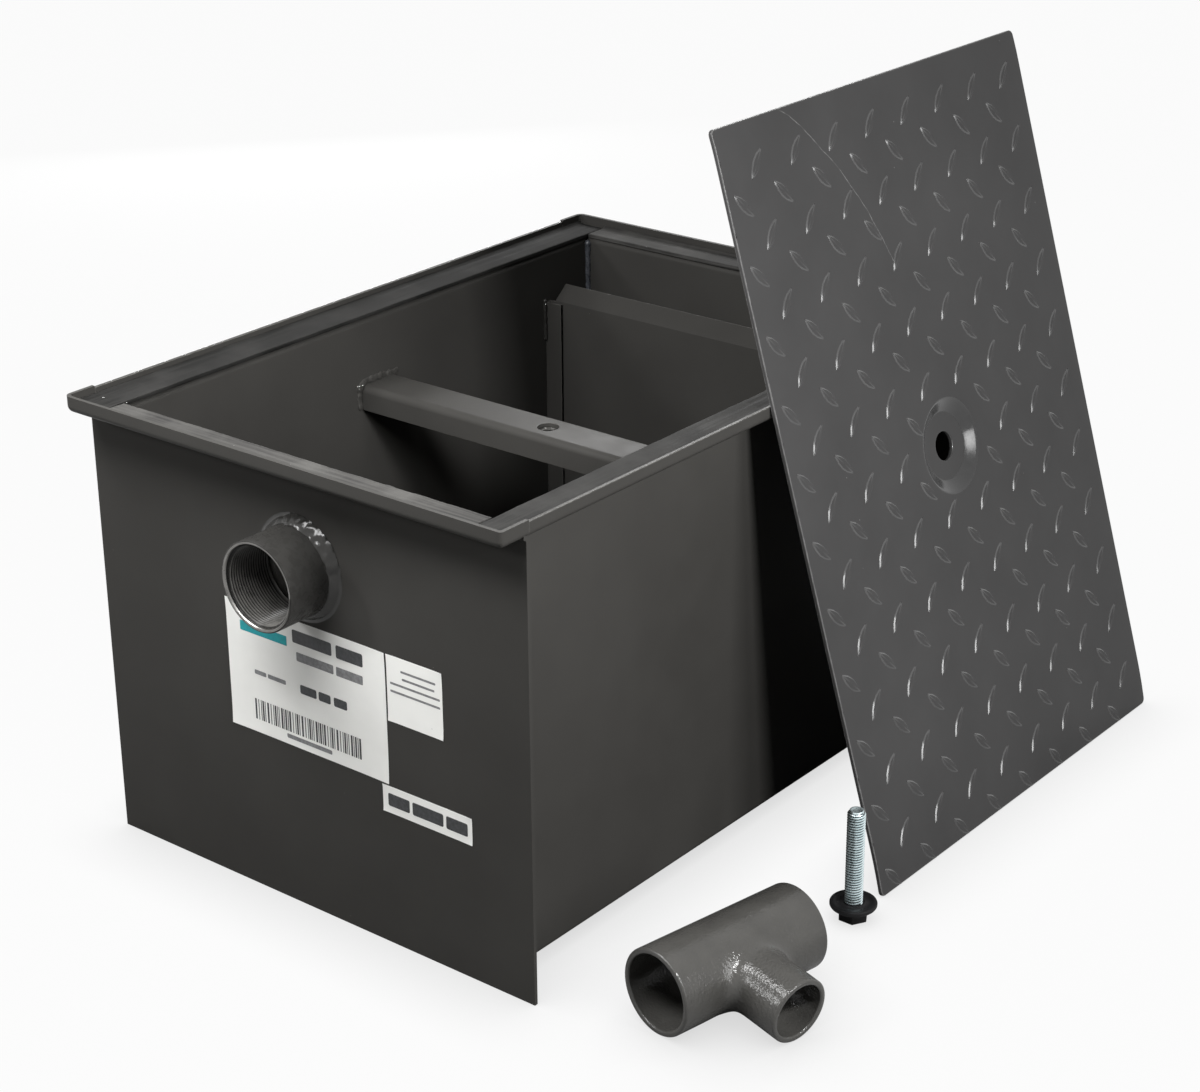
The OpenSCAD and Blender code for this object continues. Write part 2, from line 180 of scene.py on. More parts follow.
def turnProfile(rings, steps, closed=True):
    # a profile turned once round Z
    piece = drawProfile(rings, closed)
    selectAll()
    bpy.ops.mesh.spin(steps=steps, angle=2*math.pi, axis=(0, 0, 1))
    selectAll()
    bpy.ops.mesh.remove_doubles(threshold=0.01*mm)
    bpy.ops.mesh.normals_make_consistent()
    leaveEdit()
    return piece


def cutThread(tooth, pitch, turns, steps):
    # one tooth wound up into a helix and closed at both ends
    piece = drawProfile(tooth)
    selectAll()
    bpy.ops.mesh.remove_doubles(threshold=0.002*mm)
    leaveEdit()
    addModifier(piece, "SCREW", axis="Z", angle=2*math.pi, screw_offset=pitch*mm, iterations=turns,
                steps=steps, render_steps=steps, use_merge_vertices=False)
    editPiece(piece)
    bpy.ops.mesh.fill_holes(sides=0)
    selectAll()
    bpy.ops.mesh.normals_make_consistent()
    leaveEdit()
    return piece


def weldLumps(spots, voxel, rounds):
    # overlapping lumps, fused and smoothed into one bead; spots are (place, size) in millimetres
    lumps = []
    for place, size in spots:
        clearSelection()
        bpy.ops.mesh.primitive_ico_sphere_add(subdivisions=2, location=Vector(place)*mm)
        bpy.context.object.scale = Vector(size)*mm
        lumps.append(bpy.context.object)
    piece = joinPieces(lumps)
    applyPlace(piece)
    addModifier(piece, "REMESH", mode="VOXEL", voxel_size=voxel*mm)
    addModifier(piece, "SMOOTH", factor=0.6, iterations=rounds)
    return piece


# camera where the photographer stood

cameraSet = {"place": (1.13546, -1.10273, 0.94802), "azimuth": 38.746, "elevation": 23.299, "roll": -0.389,
             "lens": 78.788}


def placeCamera(s):
    a, e, r = (math.radians(s[key]) for key in ("azimuth", "elevation", "roll"))
    back = Vector((math.sin(a)*math.cos(e), -math.cos(a)*math.cos(e), math.sin(e)))
    right = Vector((math.cos(a), math.sin(a), 0))
    up = back.cross(right)
    right, up = math.cos(r)*right + math.sin(r)*up, math.cos(r)*up - math.sin(r)*right
    clearSelection()
    bpy.ops.object.camera_add()
    camera = bpy.context.object
    camera.matrix_world = Matrix.Translation(s["place"]) @ Matrix((right, up, back)).transposed().to_4x4()
    camera.data.sensor_fit = "HORIZONTAL"
    camera.data.sensor_width = 36
    camera.data.lens = s["lens"]
    camera.data.clip_end = 40
    scene.camera = camera


placeCamera(cameraSet)


# nodes of the finishes

def addNode(tree, kind, inputs, **settings):
    # gives the outputs; an input given as a socket is linked, and any other is set
    node = tree.nodes.new("ShaderNode" + kind)
    for key, value in settings.items():
        setattr(node, key, value)
    for key, value in inputs.items():
        if isinstance(value, bpy.types.NodeSocket):
            tree.links.new(value, node.inputs[key])
        else:
            node.inputs[key].default_value = value
    return node.outputs


def newFinish(name):
    finish = bpy.data.materials.new(name)
    finish.use_nodes = True
    finish.node_tree.nodes.clear()
    return finish, addNode(finish.node_tree, "TexCoord", {})["Object"]


def noiseField(place, scale, detail=3.0, stretch=None):
    if stretch:
        place = addNode(place.id_data, "Mapping", {"Vector": place, "Scale": stretch})[0]
    return addNode(place.id_data, "TexNoise", {"Vector": place, "Scale": scale, "Detail": detail,
                                               "Roughness": 0.55})[0]


def mapRange(value, low, high, toLow, toHigh):
    return addNode(value.id_data, "MapRange", {"Value": value, "From Min": low, "From Max": high,
                                               "To Min": toLow, "To Max": toHigh})[0]


def spread(field, low, high):
    # stretches the middle of a noise field, where most of its values lie, from low to high
    return mapRange(field, 0.3, 0.7, low, high)


def mathNode(operation, first, second=0):
    return addNode(first.id_data, "Math", {0: first, 1: second}, operation=operation)[0]


def flatDistance(values, centre):
    # how far two coordinates lie from a centre
    offs = [mathNode("SUBTRACT", value, middle*mm) for value, middle in zip(values, centre)]
    return mathNode("SQRT", mathNode("ADD", *(mathNode("MULTIPLY", off, off) for off in offs)))


def mixColours(factor, first, second):
    first, second = ((*tone, 1) if isinstance(tone, tuple) else tone for tone in (first, second))
    return addNode(factor.id_data, "Mix", {0: factor, 6: first, 7: second}, data_type="RGBA")[2]


def speckMask(place, scale, size, share):
    cells = addNode(place.id_data, "TexVoronoi", {"Vector": place, "Scale": scale})
    near = mathNode("LESS_THAN", cells["Distance"], size)
    chance = addNode(place.id_data, "SeparateColor", {0: cells["Color"]})[0]
    return mathNode("MULTIPLY", near, mathNode("LESS_THAN", chance, share))


def dress(tone, rough, gloss=0.5, metal=0, bump=None):
    # the bump is (height, strength, depth)
    tree = tone.id_data
    inputs = {"Base Color": tone, "Roughness": rough, "Specular IOR Level": gloss, "Metallic": metal}
    if bump:
        height, strength, depth = bump
        inputs["Normal"] = addNode(tree, "Bump", {"Height": height, "Strength": strength, "Distance": depth*mm})[0]
    addNode(tree, "OutputMaterial", {"Surface": addNode(tree, "BsdfPrincipled", inputs)[0]})


# kinds of finish: tones are dark, light and dust, specks are (scale, size, share)

def enamel(name, tones, cloud, rough, gloss, peel, specks, scratch=None):
    # the peel is (scale, strength, depth)
    finish, place = newFinish(name)
    dark, light, dust = tones
    tone = mixColours(spread(noiseField(place, cloud, 5.0), 0, 1), dark, light)
    tone = mixColours(speckMask(place, *specks), tone, dust)
    if scratch:
        tone = mixColours(scratch(place), tone, dust)
    dress(tone, spread(noiseField(place, cloud*4, 4.0), *rough), gloss,
          bump=(noiseField(place, peel[0], 2.0), *peel[1:]))
    return finish


# the leaning cover; its plate is drawn flat, with its foot along X, and then set up by coverPlace
coverSet = {
    "footX": 297.52, "nearY": 250.6, "lean": 16.7, "wide": 383.4, "long": 542.2, "thick": 3.2,
    "curlBottom": (36, 1.5), "curlTop": (22, 0.9), "curlFar": (15, 0.2), "corner": 4.0, "edge": 0.7,
    "cuts": (48, 68), "steps": 96, "punchDeep": 60, "edgeFrom": 60,
}
coverPlace = (Matrix.Translation(Vector((coverSet["footX"], coverSet["nearY"], 0))*mm)
              @ Matrix.Rotation(math.radians(-coverSet["lean"]), 4, "Y")
              @ Matrix(((0, 0, 1, 0), (1, 0, 0, 0), (0, 1, 0, 0), (0, 0, 0, 1))))
# its long scratch, an arc in the cover's own plane that starts at a height and keeps off the near edge
scratchSet = {
    "centre": (-98, 317), "radius": 284, "wide": 0.32, "from": 414, "side": 60, "wanderScale": 45, "wander": 5,
    "breakScale": 160, "breakSpan": (0.38, 0.62), "faint": 0.15, "strong": 0.8,
}


def coverScratch(place):
    s = scratchSet
    flat = addNode(place.id_data, "Mapping", {
        "Vector": place, "Location": (coverSet["footX"]*mm, coverSet["nearY"]*mm, 0),
        "Rotation": (0, math.radians(-coverSet["lean"]), 0),
    }, vector_type="TEXTURE")
    depth, across, along = addNode(place.id_data, "SeparateXYZ", {0: flat[0]})
    reach = flatDistance((across, along), s["centre"])
    drift = mathNode("SUBTRACT", noiseField(place, s["wanderScale"]), 0.5)
    reach = mathNode("ADD", reach, mathNode("MULTIPLY", drift, s["wander"]*mm))
    off = mathNode("ABSOLUTE", mathNode("SUBTRACT", reach, s["radius"]*mm))
    shown = mapRange(noiseField(place, s["breakScale"]), *s["breakSpan"], s["faint"], s["strong"])
    # only near the arc, above its start, off the near edge and on the front face
    for test, value, limit in (("LESS_THAN", off, s["wide"]), ("GREATER_THAN", along, s["from"]),
                               ("GREATER_THAN", across, s["side"]), ("GREATER_THAN", depth, coverSet["thick"]/2)):
        shown = mathNode("MULTIPLY", shown, mathNode(test, value, limit*mm))
    return shown


rubberSet = {
    "streakSpan": (0.38, 0.64), "smudgeScale": 26, "smudgeSpan": (0.45, 0.72), "smudge": 0.7,
    "specks": (190, 0.07, 0.12), "speckBright": 2.2, "rough": (0.62, 0.9), "gloss": 0.08,
    "ribFiner": 3, "ribStrength": 0.45, "ribDepth": 0.25,
}


def rubberStrip(name, stretch, dark, light, dust):
    # dusty rubber with streaks along the strip
    s = rubberSet
    finish, place = newFinish(name)
    streak = noiseField(place, 1.0, 6.0, stretch)
    tone = mixColours(mapRange(streak, *s["streakSpan"], 0, 1), dark, light)
    smudge = mapRange(noiseField(place, s["smudgeScale"], 4.0), *s["smudgeSpan"], 0, s["smudge"])
    tone = mixColours(smudge, tone, dust)
    tone = mixColours(speckMask(place, *s["specks"]), tone, tuple(s["speckBright"]*c for c in dust))
    ribs = noiseField(place, 1.0, 4.0, tuple(s["ribFiner"]*k for k in stretch))
    dress(tone, spread(streak, *s["rough"]), s["gloss"], bump=(ribs, s["ribStrength"], s["ribDepth"]))
    return finish


def matteStock(name, tones, cloud, toneSpan, rough, gloss, grain=None, specks=None):
    # the cloud is (scale, detail) and the grain is (scale, detail, strength, depth)
    finish, place = newFinish(name)
    field = noiseField(place, *cloud)
    tone = mixColours(mapRange(field, *toneSpan, 0, 1), *tones[:2])
    if specks:
        tone = mixColours(speckMask(place, *specks), tone, tones[2])
    bump = (noiseField(place, *grain[:2]), *grain[2:]) if grain else None
    dress(tone, spread(field, *rough), gloss, bump=bump)
    return finish


metalGrain = {"grind": 480, "scale": 1300, "strength": 0.08, "depth": 0.05}


def platedMetal(name, dark, light, cloud, rough):
    finish, place = newFinish(name)
    tone = mixColours(spread(noiseField(place, cloud, 4.0), 0, 1), dark, light)
    grain = (noiseField(place, metalGrain["scale"]), metalGrain["strength"], metalGrain["depth"])
    dress(tone, spread(noiseField(place, metalGrain["grind"]), *rough), metal=1, bump=grain)
    return finish


# thread tones: the dark root is painted shade in the grooves, the lighter crest worn metal and painted highlight
threadSet = {"root": (0.006, 0.006, 0.0056), "crest": (0.125, 0.122, 0.115), "worn": (0.085, 0.083, 0.078),
             "cloud": 90, "cloudSpan": (0.35, 0.65), "rough": (0.22, 0.36), "gloss": 0.12}


def threadWithRootShade(name, axes, centre, rootRadius, crestRadius):
    # painted shade between the teeth, and crests lighter as worn metal and painted highlight, by the distance from
    # the thread's axis
    s = threadSet
    finish, place = newFinish(name)
    split = addNode(place.id_data, "SeparateXYZ", {0: place})
    ring = flatDistance([split[axis] for axis in axes], centre)
    height = mapRange(ring, rootRadius*mm, crestRadius*mm, 0, 1)
    cloud = mapRange(noiseField(place, s["cloud"], 4.0), *s["cloudSpan"], 0, 1)
    tone = mixColours(height, s["root"], mixColours(cloud, s["worn"], s["crest"]))
    dress(tone, mapRange(cloud, 0, 1, *s["rough"]), s["gloss"])
    return finish


# finishes

tankPaint = enamel("satinTankPaint", ((0.044, 0.0425, 0.0398), (0.053, 0.0515, 0.0482), (0.13, 0.126, 0.118)),
                   cloud=9, rough=(0.32, 0.44), gloss=0.035, peel=(650, 0.10, 0.15), specks=(130, 0.04, 0.04))
couplingPaint = enamel("smudgedCouplingPaint",
                       ((0.023, 0.0224, 0.021), (0.033, 0.0321, 0.0303), (0.11, 0.107, 0.10)),
                       cloud=55, rough=(0.16, 0.44), gloss=0.12, peel=(500, 0.12, 0.15), specks=(240, 0.05, 0.04))
coverPaint = enamel("treadCoverPaint", ((0.045, 0.0444, 0.0444), (0.055, 0.0543, 0.0543), (0.20, 0.20, 0.198)),
                    cloud=11, rough=(0.13, 0.22), gloss=0.10, peel=(520, 0.07, 0.15), specks=(110, 0.04, 0.04),
                    scratch=coverScratch)
polishSet = {"cloud": 60, "rough": (0.13, 0.19), "gloss": 0.7, "peel": (520, 0.05, 0.15), "specks": (180, 0.05, 0.05)}
# glossy paint for the dimple's walls, darker than the cover's: painted shade that offsets their reflection
polishedShadedCover = enamel("polishedShadedCoverPaint",
                       ((0.011, 0.0109, 0.0109), (0.019, 0.0188, 0.0188), (0.16, 0.16, 0.158)), **polishSet)
polishedLug = enamel("polishedLugPaint",
                     ((0.046, 0.0456, 0.0456), (0.066, 0.0654, 0.0654), (0.16, 0.16, 0.158)), **polishSet)
teePaint = enamel("glossTeePaint", ((0.054, 0.0526, 0.0492), (0.070, 0.0682, 0.0636), (0.22, 0.22, 0.21)),
                  cloud=40, rough=(0.11, 0.18), gloss=0.36, peel=(520, 1.0, 0.36), specks=(260, 0.06, 0.05))
weldPaint = enamel("weldPaint", ((0.024, 0.0234, 0.0219), (0.034, 0.0332, 0.0312), (0.15, 0.15, 0.142)),
                   cloud=120, rough=(0.13, 0.24), gloss=0.32, peel=(700, 0.15, 0.15), specks=(300, 0.05, 0.04))
seamPaint = enamel("seamPaint", ((0.052, 0.056, 0.066), (0.110, 0.118, 0.132), (0.24, 0.25, 0.27)),
                   cloud=150, rough=(0.18, 0.36), gloss=0.40, peel=(700, 0.2, 0.15), specks=(320, 0.08, 0.08))
sideRubber = rubberStrip("sideGasketRubber", (420, 9, 420),
                         (0.012, 0.0118, 0.0113), (0.034, 0.0333, 0.032), (0.044, 0.0433, 0.0415))
# a darker copy of the side strip's rubber for the left strip: painted shade
leftRubberShaded = rubberStrip("leftGasketShadedRubber", (420, 9, 420),
                         (0.008, 0.0079, 0.0075), (0.022, 0.0216, 0.0207), (0.030, 0.0295, 0.0283))
endRubber = rubberStrip("endGasketRubber", (9, 420, 420),
                        (0.026, 0.0255, 0.0245), (0.070, 0.068, 0.065), (0.095, 0.093, 0.088))
# black rubber for the washer, also put on the bolt's zinc head as painted shade under the washer
washerRubberAndHeadShade = matteStock("washerBlackAndHeadShade", ((0.005, 0.005, 0.005), (0.010, 0.010, 0.011), (0.11, 0.11, 0.11)),
                          cloud=(160, 4.0), toneSpan=(0, 1), rough=(0.38, 0.6), gloss=0.2,
                          grain=(900, 3.0, 0.15, 0.1), specks=(420, 0.08, 0.12))
zincPlate = platedMetal("brightZinc", (0.70, 0.82, 0.84), (0.82, 0.92, 0.94), cloud=90, rough=(0.22, 0.34))
# darker zinc for the thread's groove faces: painted shade between the teeth
zincGrooveShade = platedMetal("zincGrooveShade", (0.085, 0.10, 0.105), (0.14, 0.16, 0.165), cloud=90, rough=(0.22, 0.34))
rimSteelSet = {"dark": (0.15, 0.146, 0.139), "light": (0.24, 0.235, 0.224), "cloud": 120, "rough": (0.26, 0.40)}
rimSteel = platedMetal("cutRimSteel", **rimSteelSet)
# near-black finish for the guides' inner edge faces: painted shadow of the gap behind them
gapShadowEdge = enamel("paintedGapShadow", ((0.004, 0.004, 0.0038), (0.008, 0.0078, 0.0075), (0.03, 0.03, 0.028)),
                 cloud=90, rough=(0.5, 0.7), gloss=0.02, peel=(600, 0.2, 0.15), specks=(300, 0.05, 0.05))
# lighter paint on the eased edges of the sheet steel: partly worn paint, partly painted highlight of the rounded
# edges
edgeWearAndHighlight = enamel("wornEdgeAndHighlightPaint", ((0.058, 0.0563, 0.053), (0.105, 0.102, 0.096), (0.20, 0.196, 0.185)),
                   cloud=130, rough=(0.22, 0.36), gloss=0.10, peel=(650, 0.10, 0.15), specks=(300, 0.06, 0.06))
# lighter paint on the cover plate's eased edges: partly worn paint, partly painted highlight of the rounded edges
coverEdgeWearAndHighlight = enamel("wornCoverEdgeAndHighlight", ((0.085, 0.084, 0.0835), (0.15, 0.148, 0.147), (0.26, 0.26, 0.255)),
                   cloud=120, rough=(0.20, 0.32), gloss=0.12, peel=(520, 0.10, 0.15), specks=(260, 0.06, 0.06))
couplingThread = threadWithRootShade("couplingThread", axes="XZ", centre=(0, 258), rootRadius=28.1, crestRadius=27.3)
nutThread = threadWithRootShade("nutThread", axes="XY", centre=(0, 253.65), rootRadius=6.6, crestRadius=5.9)
sparkSteel = platedMetal("sparkSteel", (0.55, 0.55, 0.54), (0.85, 0.85, 0.83), cloud=300, rough=(0.12, 0.25))
orificeSteel = platedMetal("orificeSteel", **rimSteelSet)
nutSteel = platedMetal("nutSteel", **rimSteelSet)
labelPaper = matteStock("labelPaper", ((0.875, 0.875, 0.845), (0.93, 0.93, 0.90), (0.4, 0.39, 0.37)),
                        cloud=(30, 5.0), toneSpan=(0.3, 0.7), rough=(0.42, 0.58), gloss=0.35,
                        grain=(1500, 2.0, 0.08, 0.05), specks=(160, 0.05, 0.05))
inkSet = {"cloud": (420, 3.0), "toneSpan": (0.35, 0.65), "rough": (0.4, 0.6), "gloss": 0.3}
darkInk = matteStock("darkInk", ((0.030, 0.031, 0.033), (0.055, 0.057, 0.060)), **inkSet)
greyInk = matteStock("greyInk", ((0.16, 0.16, 0.165), (0.24, 0.24, 0.245)), **inkSet)
tealInk = matteStock("tealInk", ((0.012, 0.28, 0.32), (0.02, 0.34, 0.37)), **inkSet)
print("finishes mixed:", len(bpy.data.materials))


# steel that keeps its solid's shape: a merged copy with its edges eased by these widths

easedSet = {
    "tank_shell": 0.5, "outlet_end_plate": 0.6, "inlet_end_plate": 0.6, "cross_bar": 0.6,
    "inlet_baffle": 0.4, "outlet_baffle": 0.4, "inlet_guide_left": 0.35, "inlet_guide_right": 0.35,
    "outlet_guide_left": 0.35, "outlet_guide_right": 0.35,
}
easeRule = {"merge": 0.004, "flatAngle": 0.6, "sharpAngle": 48, "weight": 60, "guideEdge": 151.2}
# rim corners that are folded nearly square, as (x side, y side)
squareSet = {"outlet_end_plate": (1, -1), "inlet_end_plate": (1, 1)}
squareFold = {"radius": 6, "power": 6}


def squareCorner(piece, node):
    low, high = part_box(node)
    sideX, sideY = squareSet[node]
    radius, power = squareFold["radius"]*mm, squareFold["power"]
    midX = (high[0] if sideX > 0 else low[0]) - sideX*radius
    midY = (high[1] if sideY > 0 else low[1]) - sideY*radius
    for v in piece.data.vertices:
        a, b = (v.co.x - midX)*sideX/radius, (v.co.y - midY)*sideY/radius
        if a > 0.01 and b > 0.01:
            grow = math.hypot(a, b)/(a**power + b**power)**(1/power)
            v.co.x, v.co.y = midX + a*grow*sideX*radius, midY + b*grow*sideY*radius


def easedCopy(node, width, finish):
    rule = easeRule
    mesh = frame["nodes"][node].data.copy()
    piece = bpy.data.objects.new(node + "_eased", mesh)
    scene.collection.objects.link(piece)
    editPiece(piece)
    bpy.ops.mesh.remove_doubles(threshold=rule["merge"]*mm)
    bpy.ops.mesh.dissolve_limited(angle_limit=math.radians(rule["flatAngle"]))
    leaveEdit()
    if node in squareSet:
        squareCorner(piece, node)
    # the bevel faces take the lighter edge paint: worn paint and painted highlight
    coat(piece, *((finish, edgeWearAndHighlight) if finish == tankPaint else (finish,)))
    easeEdges(piece, width, 2, rule["sharpAngle"], use_clamp_overlap=True, material=len(mesh.materials) - 1)
    if "guide" in node:
        # the guide's inner edge faces get a near-black finish: painted shadow of the gap between the guide and the
        # baffle
        mesh.materials.append(gapShadowEdge)
        for face in mesh.polygons:
            if abs(face.center.x) < rule["guideEdge"]*mm and abs(face.normal.x) > 0.5:
                face.material_index = 2
    settle(piece, node + "_eased", None, (node,), body=node if node in frame["bodies"] else "tank")
    addModifier(piece, "WEIGHTED_NORMAL", keep_sharp=True, weight=rule["weight"])


for node, width in easedSet.items():
    easedCopy(node, width, tankPaint)
easedCopy("bar_nut", 0.5, nutSteel)
easedCopy("flow_orifice", 0.3, orificeSteel)
print("sheet steel eased:", len(easedSet) + 2, "pieces")


# rubber strips in the rim

gasketSet = {
    "left": {"finish": leftRubberShaded, "edge": (0, 1), "seed": 4},
    "right": {"finish": sideRubber, "edge": (0, -1), "seed": 5},
    "outlet": {"finish": endRubber, "edge": (1, 1), "seed": 6},
    "inlet": {"finish": endRubber, "edge": (1, -1), "seed": 8},
}
# every strip is folded up along its outer edge and waves a little along its run
gasketForm = {
    "foldReach": 6.0, "foldOut": 1.9, "foldUp": 1.7, "longEdge": 50, "runStep": 3, "crossEdge": 10, "crossCuts": 9,
    "waveScale": 42, "fineScale": (190, 40), "wave": 0.35, "fine": 0.22, "inset": 0.2,
    "topScale": 60, "topWave": 0.16, "topFine": 0.06, "edge": 0.35,
}
# small faults of the front strip: a bulge in its inner edge, the raised end past a cut, the skewed ends
gasketFaults = {"bulgeX": 81, "bulgeWide": 4, "bulge": 1.2, "cutX": 100.6, "raised": 0.3,
                "skew": (1.6, 1.0), "skewReach": 6}


def makeGasket(name, s):
    low, high = (Vector(corner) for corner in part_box("gasket_" + name))
    piece = addShape(bpy.ops.mesh.primitive_cube_add, high - low, size=1, location=(low + high)/2)
    run, cross = (1, 0) if s["edge"][0] == 0 else (0, 1)
    g, f = gasketForm, gasketFaults
    editPiece(piece, "EDGE")
    selectWhere(piece, "EDGE", lambda e: abs((e.verts[0].co - e.verts[1].co)[run]) > g["longEdge"]*mm)
    bpy.ops.mesh.subdivide(number_cuts=int((high - low)[run]/(g["runStep"]*mm)))
    selectWhere(piece, "EDGE", lambda e: abs((e.verts[0].co - e.verts[1].co)[cross]) > g["crossEdge"]*mm)
    bpy.ops.mesh.subdivide(number_cuts=g["crossCuts"])
    leaveEdit()
    inner, outer = (high[cross], low[cross]) if s["edge"][1] > 0 else (low[cross], high[cross])
    for v in piece.data.vertices:
        fold = max(0, 1 - abs(v.co[cross] - outer)/(g["foldReach"]*mm))**2
        v.co[cross] -= s["edge"][1]*fold*g["foldOut"]*mm
        v.co.z += fold*g["foldUp"]*mm
        wave = noise.noise(Vector((v.co[run]*g["waveScale"], s["seed"], 1.7)))
        fine = noise.noise(Vector((v.co[run]*g["fineScale"][0], v.co[cross]*g["fineScale"][1], 4.2)))
        top = v.co.z - fold*g["foldUp"]*mm > (low.z + high.z)/2
        if name == "outlet" and top:
            if v.co.x > f["cutX"]*mm:
                v.co.z += f["raised"]*mm
            reach = (v.co.y - low.y)/(high.y - low.y)
            if v.co.x < low.x + f["skewReach"]*mm:
                v.co.x += f["skew"][0]*reach*mm
            if v.co.x > high.x - f["skewReach"]*mm:
                v.co.x -= f["skew"][1]*(1 - reach)*mm
        if abs(v.co[cross] - inner) < 0.1*mm:
            v.co[cross] += s["edge"][1]*(g["wave"]*wave + g["fine"]*fine - g["inset"])*mm
            if name == "outlet":
                bulge = max(0, 1 - abs(v.co.x/mm - f["bulgeX"])/f["bulgeWide"])
                v.co.y += f["bulge"]*bulge*mm
        if top:
            v.co.z += (g["topWave"]*noise.noise(v.co*g["topScale"]) + g["topFine"]*fine)*mm
    easeEdges(piece, g["edge"], 2, 50)
    settle(piece, "gasket_" + name + "_strip", s["finish"], ("gasket_" + name,), 60)


for name, s in gasketSet.items():
    makeGasket(name, s)
print("gaskets laid:", len(gasketSet))


# threaded couplings with their welds

couplingSet = {
    "body": [(28.9, 0), (31.75, 0), (31.75, 38.6), (31.62, 39.1), (31.3, 39.4), (30.9, 39.5), (30.0, 39.45),
             (28.9, 37.6)],
    "sleeve": [(28.35, 0.1), (28.35, 37.4), (28.9, 38.6), (29.3, 39.3), (29.9, 39.56), (30.75, 39.6), (30.4, 39.3),
               (29.3, 37.2), (28.95, 36.5), (28.95, 0.1)],
    "tooth": [(28.5, 0), (27.0, 0.98), (27.0, 1.2), (28.5, 2.18)], "crest": 27.0, "pitch": 2.209, "turns": 17,
    "start": 0.3, "coneFrom": 36.6, "steps": 96, "threadSteps": 72,
}
# fillet weld round a coupling, as (radius, height); it runs hot and lumpy over part of the turn
filletSet = {
    "rings": [(31.5, 0), (38.3, 0), (38.0, 0.5), (37.3, 1.4), (36.5, 2.4), (35.6, 3.3), (34.7, 4.2), (33.8, 5.1),
              (32.9, 5.9), (32.1, 6.4), (31.5, 6.6)],
    "bore": 31.5, "keep": 0.05, "steps": 216, "cold": 0.7, "wave": 0.5, "waveScale": 95,
    "hotFrom": 8, "hotTo": 108, "hotRise": 10, "hotFall": 14, "hotGrow": 0.7, "ripple": 0.75, "rippleScale": 290,
}
couplingPlaces = {
    "outlet": Matrix.Translation(Vector((0, -1.35, 258))*mm) @ Matrix.Rotation(math.radians(90), 4, "X"),
    "inlet": Matrix.Translation(Vector((0, 508.65, 258))*mm) @ Matrix.Rotation(math.radians(-90), 4, "X"),
}


def makeFillet(s):
    weld = turnProfile(s["rings"], s["steps"])
    bore = s["bore"]*mm
    for v in weld.data.vertices:
        ring = math.hypot(v.co.x, v.co.y)
        if ring < bore + s["keep"]*mm or v.co.z < s["keep"]*mm:
            continue
        turn = math.degrees(math.atan2(v.co.y, v.co.x)) % 360
        hot = max(0, min(1, (turn - s["hotFrom"])/s["hotRise"], (s["hotTo"] - turn)/s["hotFall"]))
        cold = s["cold"] + (1 - s["cold"])*hot
        v.co = Vector((v.co.x/ring, v.co.y/ring, 0))*(bore + (ring - bore)*cold) + Vector((0, 0, v.co.z*cold))
        ring = math.hypot(v.co.x, v.co.y)
        swell = s["wave"]*noise.noise(v.co*s["waveScale"])
        swell += hot*(s["hotGrow"] + s["ripple"]*noise.noise(v.co*s["rippleScale"]))
        out = Vector((v.co.x/ring*(ring - bore), v.co.y/ring*(ring - bore), v.co.z)).normalized()
        v.co += out*swell*mm
    return weld


def makeCoupling(name, place):
    s = couplingSet
    body = turnProfile(s["body"], s["steps"])
    settle(body, name + "_coupling_body", couplingPaint, (name + "_coupling",), 30, place=place)
    sleeve = turnProfile(s["sleeve"], s["steps"])
    settle(sleeve, name + "_coupling_rim", rimSteel, (), 30, place=place)
    thread = cutThread(s["tooth"], s["pitch"], s["turns"], s["threadSteps"])
    thread.location.z = s["start"]*mm
    applyPlace(thread)
    # the mouth is coned out, so the last teeth get lower
    for v in thread.data.vertices:
        ring = math.hypot(v.co.x, v.co.y)
        least = (s["crest"] + max(0, v.co.z/mm - s["coneFrom"]))*mm
        if ring < least:
            v.co.x, v.co.y = v.co.x*least/ring, v.co.y*least/ring
    settle(thread, name + "_coupling_thread", couplingThread, (), 30, place=place)
    settle(makeFillet(filletSet), name + "_weld_bead", weldPaint, (name + "_weld",), 60, place=place)


for name, place in couplingPlaces.items():
    makeCoupling(name, place)
print("couplings threaded and welded:", len(couplingPlaces))


# tread-plate cover

dimpleRings = [(40, 0), (37, -0.03), (35.4, -0.12), (34.4, -0.42), (33.2, -1.1), (30.4, -2.78), (27.6, -4.46),
               (25.8, -5.52), (25.1, -5.86), (24.5, -5.98), (18, -5.95), (11.9, -6.0), (11.1, -6.15), (10.75, -6.5),
               (10.65, -7.0), (10.65, -8.7), (11.0, -9.15), (11.6, -9.2), (23, -9.2), (26, -8.8), (29, -7.1),
               (32.4, -4.8), (35.4, -3.5), (40, -3.2)]
lugSet = {
    "long": 25.0, "wide": 8.0, "slopeWide": 1.0, "slopeHigh": 0.66, "crown": 0.12, "sides": 14, "slope": 48,
    "first": (16, 9), "pitchAcross": 45.5, "pitchAlong": 47.9, "across": 9, "along": 12,
    "margin": 0.4, "dimpleReach": 34, "sink": 0.02,
}
# faces that lie steeper than flat, as the share of their normal that points up, are rubbed to a shine; on the
# dimple's walls the shiny paint is also darker, as painted shade
slopeSpan = {"steep": 0.5, "flat": 0.97}


